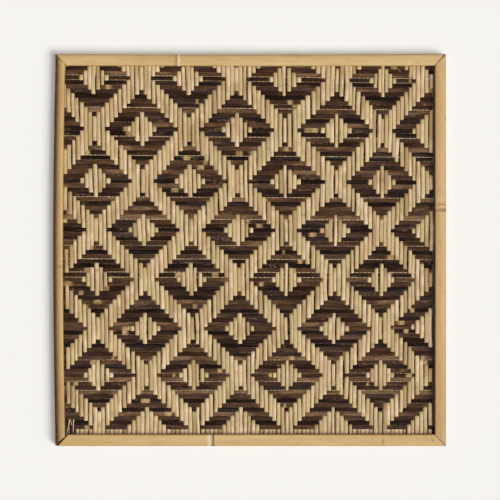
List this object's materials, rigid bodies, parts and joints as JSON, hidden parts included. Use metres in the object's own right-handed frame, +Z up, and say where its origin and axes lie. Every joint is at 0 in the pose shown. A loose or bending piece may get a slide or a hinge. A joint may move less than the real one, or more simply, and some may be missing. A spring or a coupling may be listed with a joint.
{
  "type": "woven bamboo wall screen",
  "caption": "Square wall screen woven from pale reeds and dark strips in a diamond figure, held in a mitred frame of split bamboo.",
  "frame": {"origin": "middle of the top bar's flat back, on the wall's face", "axes": "+X to the right as the viewer sees it, +Z up, the front faces -Y and the wall is at +Y"},
  "size_m": [0.6031, 0.0165, 0.6003],
  "materials": {
    "bamboo": "satin, slightly glossy skin",
    "pale_reed": "satin peeled reed",
    "dark_strip": "matt smoked bark strip"
  },
  "bodies": {
    "root": {"top_bamboo_bar": "bamboo", "right_bamboo_bar": "bamboo", "bottom_bamboo_bar": "bamboo", "left_bamboo_bar": "bamboo", "woven_mat": "pale_reed"}
  },
  "joints": []
}
